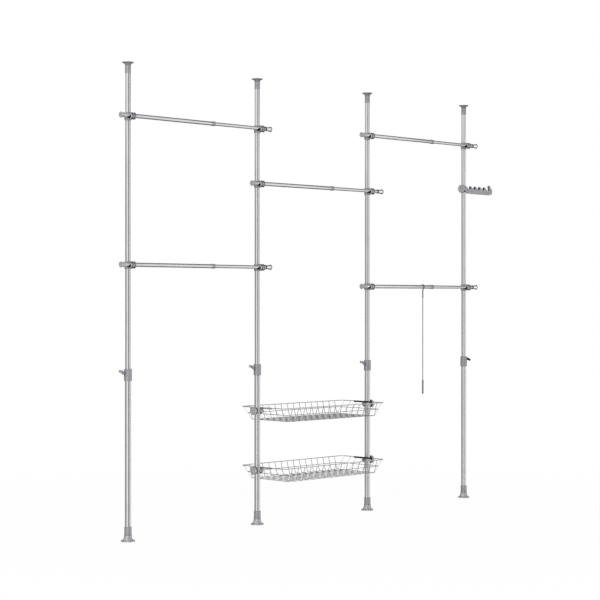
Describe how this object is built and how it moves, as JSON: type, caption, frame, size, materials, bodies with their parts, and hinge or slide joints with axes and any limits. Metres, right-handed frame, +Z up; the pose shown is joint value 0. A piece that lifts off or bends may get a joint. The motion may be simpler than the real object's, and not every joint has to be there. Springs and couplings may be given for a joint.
{
  "type": "clothes rack",
  "caption": "Telescopic clothes rack braced between floor and ceiling, with hanging rails, wire baskets, a notched hook arm and a hanging rod.",
  "frame": {"origin": "centre of the underside of the left post's foot, on the floor", "axes": "+X along the row of posts, from the left post to the right post; +Y to the back, so the rails are on the -Y side; +Z up"},
  "size_m": [3.036, 0.3456, 2.45],
  "materials": {
    "post_tube": "satin silver lacquer over steel tube",
    "rail_tube": "satin silver lacquer over steel tube",
    "foot_plastic": "fine matt grey moulding",
    "collar_plastic": "fine matt grey moulding",
    "screw_plastic": "fine matt grey moulding",
    "cap_plastic": "fine matt grey moulding",
    "clamp_plastic": "fine matt grey moulding",
    "bracket_plastic": "fine matt grey moulding",
    "knob_plastic": "fine matt grey moulding",
    "arm_plastic": "fine matt grey moulding",
    "bush_plastic": "matt near-black moulding",
    "basket_wire": "silver coated welded wire",
    "rod_wire": "silver coated rod",
    "rod_plastic": "fine matt grey moulding"
  },
  "bodies": {
    "inner_posts": {"foot_inner_left": "foot_plastic", "lower_tube_inner_left": "post_tube", "collar_inner_left": "collar_plastic", "foot_inner_right": "foot_plastic", "lower_tube_inner_right": "post_tube", "collar_inner_right": "collar_plastic"},
    "left_post": {"foot_left": "foot_plastic", "lower_tube_left": "post_tube", "collar_left": "collar_plastic"},
    "right_post": {"foot_right": "foot_plastic", "lower_tube_right": "post_tube", "collar_right": "collar_plastic"},
    "inner_uppers": {"upper_tube_inner_left": "post_tube", "top_cap_inner_left": "cap_plastic", "upper_tube_inner_right": "post_tube", "top_cap_inner_right": "cap_plastic"},
    "left_upper": {"upper_tube_left": "post_tube", "top_cap_left": "cap_plastic"},
    "right_upper": {"upper_tube_right": "post_tube", "top_cap_right": "cap_plastic"},
    "top_left_rail_outer": {"top_left_rail_outer_tube": "rail_tube", "top_left_rail_left_clamp": "clamp_plastic"},
    "top_left_rail_inner": {"top_left_rail_inner_tube": "rail_tube", "top_left_rail_right_clamp": "clamp_plastic"},
    "low_left_rail_outer": {"low_left_rail_outer_tube": "rail_tube", "low_left_rail_left_clamp": "clamp_plastic"},
    "low_left_rail_inner": {"low_left_rail_inner_tube": "rail_tube", "low_left_rail_right_clamp": "clamp_plastic"},
    "middle_rail": {"middle_rail_outer_tube": "rail_tube", "middle_rail_left_clamp": "clamp_plastic", "middle_rail_inner_tube": "rail_tube", "middle_rail_right_clamp": "clamp_plastic"},
    "top_right_rail_outer": {"top_right_rail_outer_tube": "rail_tube", "top_right_rail_left_clamp": "clamp_plastic"},
    "top_right_rail_inner": {"top_right_rail_inner_tube": "rail_tube", "top_right_rail_right_clamp": "clamp_plastic"},
    "low_right_rail_outer": {"low_right_rail_outer_tube": "rail_tube", "low_right_rail_left_clamp": "clamp_plastic"},
    "low_right_rail_inner": {"low_right_rail_inner_tube": "rail_tube", "low_right_rail_right_clamp": "clamp_plastic"},
    "upper_basket": {"upper_basket": "basket_wire", "upper_basket_left_bracket": "bracket_plastic", "upper_basket_right_bracket": "bracket_plastic"},
    "lower_basket": {"lower_basket": "basket_wire", "lower_basket_left_bracket": "bracket_plastic", "lower_basket_right_bracket": "bracket_plastic"},
    "upper_basket_left_knob": {"upper_basket_left_knob": "knob_plastic"},
    "upper_basket_right_knob": {"upper_basket_right_knob": "knob_plastic"},
    "lower_basket_left_knob": {"lower_basket_left_knob": "knob_plastic"},
    "lower_basket_right_knob": {"lower_basket_right_knob": "knob_plastic"},
    "wing_screw_left": {"wing_screw_left": "screw_plastic"},
    "wing_screw_inner_left": {"wing_screw_inner_left": "screw_plastic"},
    "wing_screw_inner_right": {"wing_screw_inner_right": "screw_plastic"},
    "wing_screw_right": {"wing_screw_right": "screw_plastic"},
    "hook_bush": {"hook_bush": "bush_plastic"},
    "hook_arm": {"hook_clamp": "arm_plastic", "hook_arm": "arm_plastic"},
    "rod": {"rod_hook": "rod_plastic", "rod_shaft": "rod_wire", "rod_grip": "rod_plastic"}
  },
  "joints": [
    {"name": "left_bay_width", "type": "slide", "parent": "inner_posts", "child": "left_post", "axis": [-1, 0, 0], "range_m": [-0.3, 0.12]},
    {"name": "right_bay_width", "type": "slide", "parent": "inner_posts", "child": "right_post", "axis": [1, 0, 0], "range_m": [-0.3, 0.12]},
    {"name": "height", "type": "slide", "parent": "inner_posts", "child": "inner_uppers", "axis": [0, 0, 1], "range_m": [-0.25, 0.25]},
    {"name": "left_height", "type": "slide", "parent": "left_post", "child": "left_upper", "axis": [0, 0, 1], "range_m": [-0.25, 0.25]},
    {"name": "right_height", "type": "slide", "parent": "right_post", "child": "right_upper", "axis": [0, 0, 1], "range_m": [-0.25, 0.25]},
    {"name": "top_left_rail_height", "type": "slide", "parent": "left_upper", "child": "top_left_rail_outer", "axis": [0, 0, 1], "range_m": [-0.12, 0.19]},
    {"name": "top_left_rail_inner_height", "type": "slide", "parent": "inner_uppers", "child": "top_left_rail_inner", "axis": [0, 0, 1], "range_m": [-0.12, 0.19]},
    {"name": "low_left_rail_height", "type": "slide", "parent": "left_upper", "child": "low_left_rail_outer", "axis": [0, 0, 1], "range_m": [-0.24, 0.2]},
    {"name": "low_left_rail_inner_height", "type": "slide", "parent": "inner_uppers", "child": "low_left_rail_inner", "axis": [0, 0, 1], "range_m": [-0.24, 0.2]},
    {"name": "middle_rail_height", "type": "slide", "parent": "inner_uppers", "child": "middle_rail", "axis": [0, 0, 1], "range_m": [-0.2, 0.12]},
    {"name": "top_right_rail_height", "type": "slide", "parent": "inner_uppers", "child": "top_right_rail_outer", "axis": [0, 0, 1], "range_m": [-0.12, 0.17]},
    {"name": "top_right_rail_inner_height", "type": "slide", "parent": "right_upper", "child": "top_right_rail_inner", "axis": [0, 0, 1], "range_m": [-0.12, 0.17]},
    {"name": "low_right_rail_height", "type": "slide", "parent": "inner_uppers", "child": "low_right_rail_outer", "axis": [0, 0, 1], "range_m": [-0.14, 0.2]},
    {"name": "low_right_rail_inner_height", "type": "slide", "parent": "right_upper", "child": "low_right_rail_inner", "axis": [0, 0, 1], "range_m": [-0.14, 0.2]},
    {"name": "upper_basket_height", "type": "slide", "parent": "inner_posts", "child": "upper_basket", "axis": [0, 0, 1], "range_m": [-0.1, 0.14]},
    {"name": "lower_basket_height", "type": "slide", "parent": "inner_posts", "child": "lower_basket", "axis": [0, 0, 1], "range_m": [-0.15, 0.1]},
    {"name": "upper_basket_left_knob_turn", "type": "hinge", "parent": "upper_basket", "child": "upper_basket_left_knob", "pos_m": [0.91, 0, 0.6257], "axis": [-1, 0, 0], "range_deg": [0, 540]},
    {"name": "upper_basket_right_knob_turn", "type": "hinge", "parent": "upper_basket", "child": "upper_basket_right_knob", "pos_m": [1.8005, 0, 0.6257], "axis": [1, 0, 0], "range_deg": [0, 540]},
    {"name": "lower_basket_left_knob_turn", "type": "hinge", "parent": "lower_basket", "child": "lower_basket_left_knob", "pos_m": [0.91, 0, 0.2971], "axis": [-1, 0, 0], "range_deg": [0, 540]},
    {"name": "lower_basket_right_knob_turn", "type": "hinge", "parent": "lower_basket", "child": "lower_basket_right_knob", "pos_m": [1.8005, 0, 0.2971], "axis": [1, 0, 0], "range_deg": [0, 540]},
    {"name": "wing_screw_left_turn", "type": "hinge", "parent": "left_post", "child": "wing_screw_left", "pos_m": [0, 0, 0.8657], "axis": [-1, 0, 0], "range_deg": [0, 540]},
    {"name": "wing_screw_inner_left_turn", "type": "hinge", "parent": "inner_posts", "child": "wing_screw_inner_left", "pos_m": [0.91, 0, 0.8657], "axis": [-1, 0, 0], "range_deg": [0, 540]},
    {"name": "wing_screw_inner_right_turn", "type": "hinge", "parent": "inner_posts", "child": "wing_screw_inner_right", "pos_m": [1.8005, 0, 0.8657], "axis": [-1, 0, 0], "range_deg": [0, 540]},
    {"name": "wing_screw_right_turn", "type": "hinge", "parent": "right_post", "child": "wing_screw_right", "pos_m": [2.6865, 0, 0.8657], "axis": [1, 0, 0], "range_deg": [0, 540]},
    {"name": "hook_height", "type": "slide", "parent": "right_upper", "child": "hook_bush", "axis": [0, 0, 1], "range_m": [-0.35, 0.08]},
    {"name": "hook_swivel", "type": "hinge", "parent": "hook_bush", "child": "hook_arm", "pos_m": [2.6865, 0, 1.9277], "axis": [0, 0, 1], "continuous": true},
    {"name": "rod_swing", "type": "hinge", "parent": "low_right_rail_outer", "child": "rod", "pos_m": [2.262, -0.03, 1.3134], "axis": [1, 0, 0], "range_deg": [-70, 70]}
  ],
  "couplings": [
    {"joint": "left_height", "follows": "height", "ratio": 1},
    {"joint": "right_height", "follows": "height", "ratio": 1},
    {"joint": "top_left_rail_inner_height", "follows": "top_left_rail_height", "ratio": 1},
    {"joint": "low_left_rail_inner_height", "follows": "low_left_rail_height", "ratio": 1},
    {"joint": "top_right_rail_inner_height", "follows": "top_right_rail_height", "ratio": 1},
    {"joint": "low_right_rail_inner_height", "follows": "low_right_rail_height", "ratio": 1}
  ]
}
